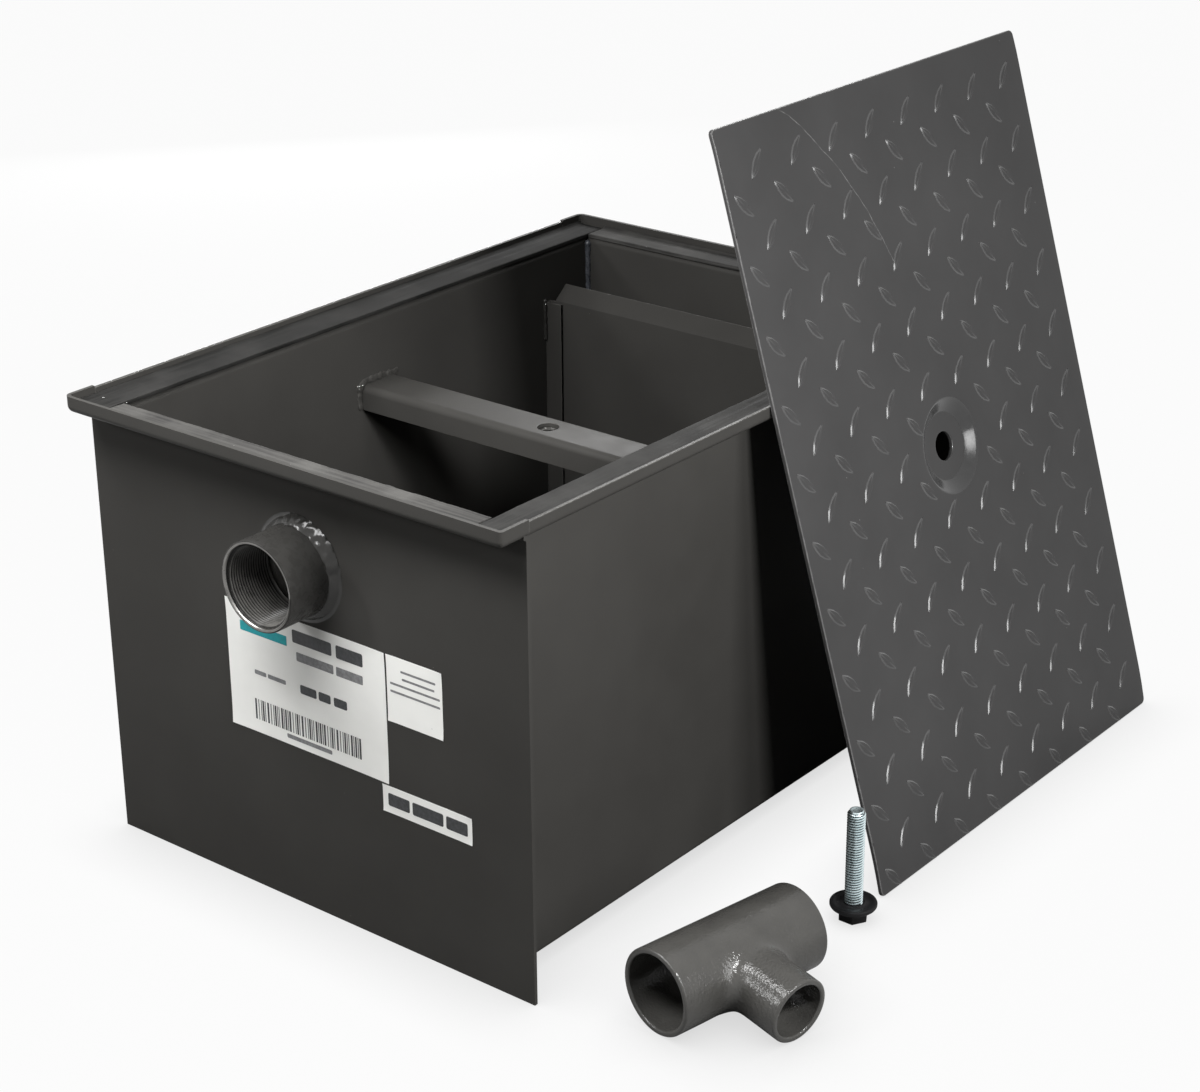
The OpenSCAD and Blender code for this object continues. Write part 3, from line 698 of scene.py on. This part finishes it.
def makeLug(s):
    # a pointed oval with an even slope up to its low crown
    piece = addShape(bpy.ops.mesh.primitive_circle_add, vertices=s["sides"], fill_type="NGON")
    for v in piece.data.vertices:
        v.co.x, v.co.y = v.co.x*s["long"]/2*mm, math.copysign(1 - v.co.x**2, v.co.y)*s["wide"]/2*mm
    editPiece(piece, "FACE")
    bpy.ops.mesh.inset(thickness=s["slopeWide"]*mm, depth=s["slopeHigh"]*mm, use_even_offset=True)
    bpy.ops.mesh.poke(offset=s["crown"]*mm)
    leaveEdit()
    coat(piece, coverPaint, polishedLug)
    for face in piece.data.polygons:
        face.material_index = 1 if face.normal.z < slopeSpan["flat"] else 0
    return piece


def lugField(s, slope, first):
    piece = makeLug(s)
    piece.rotation_euler.z = math.radians(slope)
    piece.location = (first[0]*mm, first[1]*mm, 0)
    applyPlace(piece)
    for step, many in (((s["pitchAcross"]*mm, 0, 0), s["across"]), ((0, s["pitchAlong"]*mm, 0), s["along"])):
        addModifier(piece, "ARRAY", count=many, use_relative_offset=False, use_constant_offset=True,
                    constant_offset_displace=step)
    return piece


def trimField(piece, wide, long):
    # cuts the lugs off at the plate's edges and clears them from the dimple
    margin = lugSet["margin"]
    for point, normal in (((margin, 0, 0), (-1, 0, 0)), ((wide - margin, 0, 0), (1, 0, 0)),
                          ((0, margin, 0), (0, -1, 0)), ((0, long - margin, 0), (0, 1, 0))):
        editPiece(piece, "FACE")
        bpy.ops.mesh.bisect(plane_co=Vector(point)*mm, plane_no=normal, use_fill=True, clear_outer=True)
        leaveEdit()
    editPiece(piece)
    centre = Vector((wide/2, long/2, 0))*mm
    selectWhere(piece, "VERT", lambda v: (Vector((v.co.x, v.co.y, 0)) - centre).length < lugSet["dimpleReach"]*mm)
    bpy.ops.mesh.select_linked()
    bpy.ops.mesh.delete(type="VERT")
    leaveEdit()


def curlCover(piece, s):
    # the short ends and the far edge fall back a little
    for v in piece.data.vertices:
        drop = 0
        for depth, (reach, fall) in ((v.co.y, s["curlBottom"]), (s["long"]*mm - v.co.y, s["curlTop"]),
                                     (s["wide"]*mm - v.co.x, s["curlFar"])):
            inside = max(0, 1 - depth/(reach*mm))
            drop += fall*mm*inside**2
        v.co.z -= drop


def makePlate(s, middle):
    w, l = s["wide"]*mm, s["long"]*mm
    plate = addShape(bpy.ops.mesh.primitive_grid_add, (w, l, 1), x_subdivisions=s["cuts"][0],
                     y_subdivisions=s["cuts"][1], size=1, location=(*middle, s["thick"]*mm))
    addModifier(plate, "SOLIDIFY", thickness=s["thick"]*mm, offset=-1)
    coat(plate, coverPaint, coverEdgeWearAndHighlight)
    punch = addShape(bpy.ops.mesh.primitive_cylinder_add, vertices=s["steps"], radius=dimpleRings[0][0]*mm,
                     depth=s["punchDeep"]*mm, location=(*middle, 0))
    addModifier(plate, "BOOLEAN", operation="DIFFERENCE", object=punch, solver="EXACT")
    bpy.data.objects.remove(punch)

    def atCorner(v):
        return min(v.co.x, w - v.co.x) < 0.01*mm and min(v.co.y, l - v.co.y) < 0.01*mm

    def atEdge(e):
        return e.calc_face_angle(0) > 1 and (e.verts[0].co - Vector((w/2, l/2, 0))).length > s["edgeFrom"]*mm
    editPiece(plate, "EDGE")
    selectWhere(plate, "EDGE", lambda e: all(atCorner(v) for v in e.verts))
    bpy.ops.mesh.bevel(offset=s["corner"]*mm, segments=4)
    selectWhere(plate, "EDGE", atEdge)
    # the eased edges take the lighter edge paint: worn paint and painted highlight
    bpy.ops.mesh.bevel(offset=s["edge"]*mm, segments=3, material=1)
    leaveEdit()
    return plate


def makeCover(s):
    middle = (s["wide"]/2*mm, s["long"]/2*mm)
    plate = makePlate(s, middle)
    dimple = turnProfile(dimpleRings, s["steps"], closed=False)
    coat(dimple, coverPaint, polishedShadedCover)
    # the dimple's sloping walls take the darker glossy paint: painted shade
    for face in dimple.data.polygons:
        face.material_index = 1 if slopeSpan["steep"] < abs(face.normal.z) < slopeSpan["flat"] else 0
    dimple.location = (*middle, s["thick"]*mm)
    applyPlace(dimple)
    cover = joinPieces([plate, dimple])
    editPiece(cover)
    bpy.ops.mesh.remove_doubles(threshold=0.02*mm)
    leaveEdit()
    # two fields of lugs, turned against each other and set half a pitch apart
    fields = []
    for slope, shift in ((-lugSet["slope"], 0), (lugSet["slope"], 0.5)):
        pitches = (lugSet["pitchAcross"], lugSet["pitchAlong"])
        first = [start + (shift - 1)*pitch for start, pitch in zip(lugSet["first"], pitches)]
        field = lugField(lugSet, slope, first)
        trimField(field, s["wide"], s["long"])
        fields.append(field)
    lugs = joinPieces(fields)
    lugs.location.z = s["thick"]*mm - lugSet["sink"]*mm
    applyPlace(lugs)
    for piece in (cover, lugs):
        curlCover(piece, s)
        applyPlace(piece, coverPlace)
    for v in cover.data.vertices:
        v.co.z = max(v.co.z, 0)
    settle(cover, "cover_plate", None, ("cover",), 40)
    addModifier(cover, "WEIGHTED_NORMAL", keep_sharp=True, weight=50)
    settle(lugs, "cover_tread", None, (), 25)


makeCover(coverSet)
print("cover pressed")


# cover bolt on its head, with the rubber washer

boltSet = {
    "place": (296.7, 217, 0), "headFlat": 19, "headHigh": 8, "headEdge": 0.6, "long": 76, "sink": 0.5,
    "root": 5.0, "groove": 5.65, "crest": 6.35, "pitch": 1.954, "turns": 36, "threadEnd": 0.6,
    "chamferFrom": 2.6, "chamferSlope": 0.7, "steps": 48, "threadSteps": 40, "washerSteps": 72,
    # the end as (radius, depth), the tooth as (radius, share of the pitch), the washer as (radius, height)
    "tip": [(0, 0.35), (3.6, 0.3), (4.5, 0), (4.8, 0.1), (5.0, 0.5)],
    "tooth": [(4.9, 0), (5.65, 0.20), (6.35, 0.40), (6.35, 0.60), (5.65, 0.80), (4.9, 0.99)],
    "washer": [(6.5, 8.4), (6.9, 8.05), (13.6, 8.05), (14.2, 8.3), (15.9, 9.7), (16.45, 10.6), (16.5, 12.1),
               (16.2, 12.75), (15.4, 12.95), (13.4, 12.9), (12.9, 12.7), (8.6, 12.5), (8.2, 12.85), (6.8, 12.9),
               (6.5, 12.6)],
}


def makeBolt(s):
    place = Matrix.Translation(Vector(s["place"])*mm)
    head = addShape(bpy.ops.mesh.primitive_cylinder_add, vertices=6, depth=s["headHigh"]*mm,
                    radius=s["headFlat"]/2/math.cos(math.pi/6)*mm, location=(0, 0, s["headHigh"]/2*mm),
                    rotation=(0, 0, math.pi/6))
    easeEdges(head, s["headEdge"], 3, 40)
    # the zinc head is given the washer's black rubber: painted shade of the head under the washer
    settle(head, "cover_bolt_head", washerRubberAndHeadShade, (), 40, place=place)
    top, low = s["headHigh"] + s["long"], s["headHigh"] - s["sink"]
    core = turnProfile([(r, top - depth) for r, depth in s["tip"]] + [(s["root"], low), (0, low)],
                       s["steps"], closed=False)
    coat(core, zincPlate)
    thread = cutThread([(r, share*s["pitch"]) for r, share in s["tooth"]], s["pitch"], s["turns"], s["threadSteps"])
    thread.location.z = (top - s["threadEnd"] - s["pitch"]*(s["turns"] + 1))*mm
    applyPlace(thread)
    for v in thread.data.vertices:
        limit = s["crest"]*mm - max(0, v.co.z - (top - s["chamferFrom"])*mm)*s["chamferSlope"]
        ring = math.hypot(v.co.x, v.co.y)
        if ring > limit:
            v.co.x, v.co.y = v.co.x*limit/ring, v.co.y*limit/ring
    coat(thread, zincPlate, zincGrooveShade)
    # the faces deep in the groove take the darker zinc: painted shade
    for face in thread.data.polygons:
        if math.hypot(face.center.x, face.center.y) < s["groove"]*mm:
            face.material_index = 1
    shank = joinPieces([core, thread])
    settle(shank, "cover_bolt_zinc", None, ("cover_bolt",), 40, place=place)
    washer = turnProfile(s["washer"], s["washerSteps"])
    settle(washer, "seal_washer_rubber", washerRubberAndHeadShade, ("seal_washer",), 50, place=place)


makeBolt(boltSet)
print("bolt and washer stood up")


# flow-control tee

teeSet = {
    "place": (287.4, 82.6, 30.15), "turn": 78.9, "tilt": 6.25, "runRadius": 30.15, "runLong": 124.5,
    "branchRadius": 22.9, "branchLong": 67.8, "wall": 4.2, "patch": 31.0, "blend": 6.0, "edge": 1.7,
    "ends": (44, 56), "toe": 1.6, "neck": 10, "mouth": 7, "sideReach": 0.96,
    # the smoothing draws the round parts in by these shares
    "runLoose": 1.026, "branchLoose": 1.0115,
}


def makeTee(s):
    radius, branch = s["runRadius"]*s["runLoose"], s["branchRadius"]*s["branchLoose"]
    cell, wedge, spoke = s["patch"]/3, math.radians(22.5), math.radians(15)
    near, far = s["ends"]
    tee = addShape(bpy.ops.mesh.primitive_cylinder_add, vertices=16, radius=radius*mm, depth=s["runLong"]*mm,
                   end_fill_type="NOTHING", rotation=(0, math.pi/2, 0))
    for x in (-far, -near, *(cell*k for k in range(-3, 4)), near, far):
        editPiece(tee)
        bpy.ops.mesh.bisect(plane_co=(x*mm, 0, 0), plane_no=(1, 0, 0))
        leaveEdit()
    # open the run where the branch leaves: six faces by six
    editPiece(tee, "FACE")

    def onPatch(face):
        c = face.calc_center_median()
        return abs(c.x) < s["patch"]*mm and abs(math.atan2(c.z, -c.y)) < 3*wedge
    selectWhere(tee, "FACE", onPatch)
    bpy.ops.mesh.delete(type="FACE")
    bpy.ops.mesh.select_mode(type="EDGE")
    selectWhere(tee, "EDGE", lambda e: e.is_boundary and all(abs(v.co.x) < (s["patch"] + 1)*mm for v in e.verts))

    def spokeOf(co, first):
        # which of the branch's 24 spokes a point of the hole's edge goes to
        if not first:
            return round(math.atan2(co.z, co.x)/spoke)*spoke
        i, j = round(co.x/mm/cell), round(math.atan2(co.z, -co.y)/wedge)
        if abs(i) == 3:
            return spoke*j if i > 0 else math.pi - spoke*j
        return math.pi/2 - spoke*i if j > 0 else spoke*i - math.pi/2

    def onRun(z):
        return math.sqrt(radius**2 - min(abs(z), s["sideReach"]*radius)**2)
    # each ring of the branch as (radius, height over the run or None, height over the axis)
    rings = [(branch + s["blend"], 0, None), (branch + s["toe"], s["toe"], None), (branch, s["blend"], None),
             (branch, None, radius + s["neck"]), (branch, None, s["branchLong"] - s["mouth"]),
             (branch, None, s["branchLong"])]
    for k, (ring, over, height) in enumerate(rings):
        bpy.ops.mesh.extrude_edges_move(TRANSFORM_OT_translate={"value": (0, 0, 0)})
        mesh = bmesh.from_edit_mesh(tee.data)
        for v in mesh.verts:
            if v.select:
                a = spokeOf(v.co, k == 0)
                x, z = ring*math.cos(a), ring*math.sin(a)
                if over == 0:
                    z = math.copysign(min(abs(z), s["sideReach"]*radius), z)
                out = height if over is None else onRun(z) + over
                v.co = Vector((x, -out, z))*mm
        bmesh.update_edit_mesh(tee.data)
    selectAll()
    bpy.ops.mesh.normals_make_consistent()
    leaveEdit()
    addModifier(tee, "SUBSURF", levels=2, render_levels=2)
    addModifier(tee, "SOLIDIFY", thickness=s["wall"]*mm, offset=-1, use_even_offset=True)
    easeEdges(tee, s["edge"], 4, 50)
    place = (Matrix.Translation(Vector(s["place"])*mm) @ Matrix.Rotation(math.radians(s["turn"]), 4, "Z")
             @ Matrix.Rotation(math.radians(s["tilt"]), 4, "X"))
    settle(tee, "flow_tee_cast", teePaint, ("flow_tee",), 40, place=place)


makeTee(teeSet)
print("tee drawn out")


# paper labels with plain printed fields

# how far the paper and the print stand off the plate's face
labelStand = {"face": -1.35, "paper": 0.12, "print": 0.24, "thick": 0.1, "liftFrom": 0.6}
labelSet = {
    "main": {"corner": (-73, 122.5), "size": (146, 95.5), "cuts": (36, 24), "lift": 0.5},
    "side": {"corner": (74.5, 170), "size": (48, 48), "cuts": (14, 14), "lift": 0.35},
    "strip": {"corner": (66.8, 101), "size": (78, 20), "cuts": (24, 8), "lift": 0.3},
}
# a plain row of bars of chosen widths
barSet = {"from": -50.0, "to": 50, "bottom": 132.5, "high": 15.5, "gap": 1.05,
          "widths": [1.6, 0.7, 0.7, 1.5, 0.7, 1.6, 0.8, 0.7, 1.5, 0.7, 0.7, 1.6, 0.7, 1.5, 0.8]}


def barRow(s):
    fields, x, k, widths = [], s["from"], 0, s["widths"]
    while x < s["to"]:
        w = widths[k % len(widths)]
        fields.append((x, s["bottom"], w, s["high"]))
        x += w + widths[(k*2 + 3) % len(widths)]*s["gap"]
        k += 1
    return fields


# printed fields as (left, bottom, width, height) in millimetres, with the finish and the corner's radius
printSet = {
    "teal": {"finish": tealInk, "corner": 0.4, "fields": [(-60, 196.8, 44, 7.2)]},
    "dark": {"finish": darkInk, "corner": 1.2, "fields": [
        (-10.5, 201.5, 36, 9.5), (29.5, 201.5, 24, 9.5), (-5.5, 165, 15, 6.6), (11.5, 165, 11, 6.6),
        (25.5, 165, 12, 6.6), (71.5, 106.3, 19, 9.4), (93, 106.3, 27, 9.4), (122.5, 106.3, 18.5, 9.4)]},
    "grey": {"finish": greyInk, "corner": 0.8, "fields": [
        (-7.5, 188.5, 34, 6.6), (29, 188.5, 24, 6.6), (-48.5, 167.0, 11, 3.2), (-36, 167.0, 17, 3.2),
        (-20.5, 127.3, 42, 3.2), (87, 207.8, 30, 1.6), (88, 202.6, 28, 1.6), (77.5, 197.4, 43, 1.6),
        (77.5, 191.8, 43, 1.6)]},
    "bars": {"finish": darkInk, "corner": 0.1, "fields": barRow(barSet)},
}


def makeLabel(name, s):
    (x, z), (w, h), stand = s["corner"], s["size"], labelStand
    piece = addShape(bpy.ops.mesh.primitive_grid_add, (w*mm, h*mm, 1), x_subdivisions=s["cuts"][0],
                     y_subdivisions=s["cuts"][1], size=1, rotation=(math.pi/2, 0, 0),
                     location=((x + w/2)*mm, (stand["face"] - stand["paper"])*mm, (z + h/2)*mm))
    addModifier(piece, "SOLIDIFY", thickness=stand["thick"]*mm, offset=0)
    # the paper lifts a touch towards its corners
    flat = stand["liftFrom"]
    for v in piece.data.vertices:
        edge = Vector((abs(v.co.x/mm - x - w/2)/(w/2), abs(v.co.z/mm - z - h/2)/(h/2)))
        v.co.y -= s["lift"]*mm*max(0, (edge.x*edge.y - flat)/(1 - flat))**2
    settle(piece, "label_" + name + "_paper", labelPaper, ("label_" + name,), 30)


def printFields(name, s):
    marks, out = [], labelStand["face"] - labelStand["print"]
    for x, z, w, h in s["fields"]:
        mark = addShape(bpy.ops.mesh.primitive_plane_add, (w*mm, h*mm, 1), size=1, rotation=(math.pi/2, 0, 0),
                        location=((x + w/2)*mm, out*mm, (z + h/2)*mm))
        editPiece(mark)
        bpy.ops.mesh.bevel(offset=min(s["corner"], h/3, w/3)*mm, segments=3, affect="VERTICES")
        leaveEdit()
        marks.append(mark)
    settle(joinPieces(marks), "label_print_" + name, s["finish"], (), 30)


for name, s in labelSet.items():
    makeLabel(name, s)
for name, s in printSet.items():
    printFields(name, s)
print("labels printed")


# small weld work inside the tank

def lumpLine(points, step, size, jitter):
    # overlapping lumps along a line of points
    spots = []
    for start, end in zip(points, points[1:]):
        count = max(2, round((Vector(end) - Vector(start)).length/step))
        for k in range(count):
            place = Vector(start).lerp(Vector(end), k/count)
            place += Vector([random.uniform(-jitter, jitter) for i in range(3)])
            swell = random.uniform(0.85, 1.15)
            spots.append((place, [c*swell for c in size]))
    return spots


# beads on the left wall; the right wall has the same ones
guideLump = {"step": 1.6, "size": (1.8, 1.7, 2.0), "finish": weldPaint}
seamLump = {"step": 2.2, "size": (2.1, 2.1, 3.0), "finish": weldPaint}
beadSet = {
    "bar": {"points": [(-166.6, 273, 281), (-166.6, 252, 282.4), (-166.4, 236, 281.6), (-166.2, 232.4, 279.5),
                       (-166.4, 232, 262)],
            "step": 2.1, "size": (1.25, 3.2, 3.4), "jitter": 0.7, "finish": tankPaint},
    "guide_inlet": dict(guideLump, points=[(-165.8, 450.2, 291), (-165.8, 450.2, 258)]),
    "guide_outlet": dict(guideLump, points=[(-165.8, 57.1, 291), (-165.8, 57.1, 258)]),
    "corner_inlet": {"points": [(-165.6, 505.2, 326), (-165.6, 505.2, 286)],
                     "step": 1.8, "size": (2.6, 2.6, 3.2), "finish": seamPaint},
    "corner_inlet_low": dict(seamLump, points=[(-165.8, 505.4, 286), (-165.8, 505.4, 20)]),
    "corner_outlet": dict(seamLump, points=[(-165.8, 2.0, 326), (-165.8, 2.0, 20)]),
}
beadVoxel = 0.7
for name, s in beadSet.items():
    for side, turn in (("left", 1), ("right", -1)):
        spots = lumpLine([(x*turn, y, z) for x, y, z in s["points"]], s["step"], s["size"], s.get("jitter", 0.3))
        settle(weldLumps(spots, beadVoxel, 4), "weld_" + name + "_" + side, s["finish"], (), 180)

# drops of bright spatter by the bar, the guide and the rim's corner, as (place, radius)
spatterSet = {
    "spots": [((-164.4, 228.6, 281.6), 0.8), ((-164.2, 230.6, 281.2), 0.75), ((-163.6, 233.2, 281.4), 0.8),
              ((-164.2, 229.8, 279.4), 0.55), ((-164.6, 449.4, 289.2), 0.7), ((-165.4, 449.0, 286.4), 0.5),
              ((-183.7, 0.8, 334.8), 0.45), ((-164.4, 4.6, 334.0), 0.5)],
    "flat": 0.8, "voxel": 0.22,
}
drops = weldLumps([(place, (size, size, size*spatterSet["flat"])) for place, size in spatterSet["spots"]],
                  spatterSet["voxel"], 1)
settle(drops, "weld_spatter", sparkSteel, (), 180)

# thread that shows in the cross bar's bolt hole
barThreadSet = {"tooth": [(6.75, 0), (5.7, 0.85), (5.7, 1.1), (6.75, 1.92)], "pitch": 1.954, "turns": 5, "steps": 40}
barHole = Matrix.Translation(Vector((0, 253.65, 266.3))*mm)
settle(cutThread(**barThreadSet), "bar_nut_thread", nutThread, (), 30, place=barHole)
print("weld work done:", 2*len(beadSet), "beads")


# floor, world and lamps

def whiteRays(tree):
    # the studio is white to the camera and in reflections, and dim where it lights the object
    rays = addNode(tree, "LightPath", {})
    seen = mathNode("MAXIMUM", rays["Is Camera Ray"], rays["Is Glossy Ray"])
    return mathNode("MAXIMUM", seen, rays["Is Transmission Ray"])


def blendShaders(share, first, second, outKind):
    blend = addNode(share.id_data, "MixShader", {0: share, 1: first[0], 2: second[0]})
    addNode(share.id_data, outKind, {"Surface": blend[0]})


floorSet = {
    "size": 30, "drop": 0.05, "colour": (0.15, 0.15, 0.148), "whiteShare": 0.96,
    "nearReach": 0.07, "nearShade": 0.68, "wideReach": 0.5, "wideFrom": 0.2, "wideShade": 0.02,
}


def floorFinish(s):
    finish, place = newFinish("paleFloor")
    tree = place.id_data
    # the white dims where the object stands close to the floor
    near = addNode(tree, "AmbientOcclusion", {"Distance": s["nearReach"]}, samples=12)
    nearShade = mapRange(near["AO"], 0, 1, s["nearShade"], 1)
    # in reflections it dims further out, as the floor beside a tall object does
    wide = addNode(tree, "AmbientOcclusion", {"Distance": s["wideReach"]}, samples=8)
    wideShade = mapRange(wide["AO"], s["wideFrom"], 1, s["wideShade"], 1)
    direct = mapRange(addNode(tree, "LightPath", {})["Is Glossy Ray"], 0, 1, 1, 0)
    strength = mathNode("MINIMUM", nearShade, mathNode("MAXIMUM", wideShade, direct))
    matte = addNode(tree, "BsdfDiffuse", {"Color": (*s["colour"], 1)})
    glow = addNode(tree, "Emission", {"Strength": strength})
    share = mathNode("MULTIPLY", whiteRays(tree), s["whiteShare"])
    blendShaders(share, matte, glow, "OutputMaterial")
    return finish


floor = addShape(bpy.ops.mesh.primitive_plane_add, size=floorSet["size"], location=(0, 0, -floorSet["drop"]*mm))
floor.name = "studio_floor"
floor.data.materials.append(floorFinish(floorSet))

worldSet = {"fill": 0.06, "fillColour": (1.0, 0.99, 0.97)}
world = bpy.data.worlds.new("studioWorld")
scene.world = world
world.use_nodes = True
tree = world.node_tree
tree.nodes.clear()
fill = addNode(tree, "Background", {"Color": (*worldSet["fillColour"], 1), "Strength": worldSet["fill"]})
white = addNode(tree, "Background", {"Color": (1, 1, 1, 1)})
blendShaders(whiteRays(tree), fill, white, "OutputWorld")

lampSet = {
    "over": {"place": (-0.05, -0.24, 0.82), "aim": (-0.01, -0.15, 0), "size": (0.72, 0.20), "power": 9.4},
    "left": {"place": (-1.3, -1.6, 1.3), "aim": (0, 0, 0.2), "size": (0.35, 0.35), "power": 13},
    "side": {"place": (0.84, -0.02, 0.69), "aim": (0.2, 0.25, 0.3), "size": (0.12, 0.12), "power": 6.8},
    "right": {"place": (1.82, 0.14, 0.78), "aim": (0.25, 0.36, 0.28), "size": (0.44, 1.05), "power": 13},
    "back": {"place": (-0.75, 1.5, 1.1), "aim": (0, 0.25, 0.3), "size": (0.5, 0.4), "power": 12},
    "low": {"place": (-1.5, 1.5, 0.22), "aim": (0, 0.25, 0.15), "size": (0.8, 0.2), "power": 26},
}


def addLamp(name, s):
    clearSelection()
    bpy.ops.object.light_add(type="AREA", location=s["place"])
    lamp = bpy.context.object
    lamp.name = name + "_lamp"
    lamp.rotation_euler = (Vector(s["place"]) - Vector(s["aim"])).to_track_quat("Z", "Y").to_euler()
    lamp.data.shape = "RECTANGLE"
    lamp.data.size, lamp.data.size_y = s["size"]
    lamp.data.energy = s["power"]
    lamp.visible_camera = False


for name, s in lampSet.items():
    addLamp(name, s)
scene.view_settings.view_transform = "Standard"
print("studio lit:", len(lampSet), "lamps")
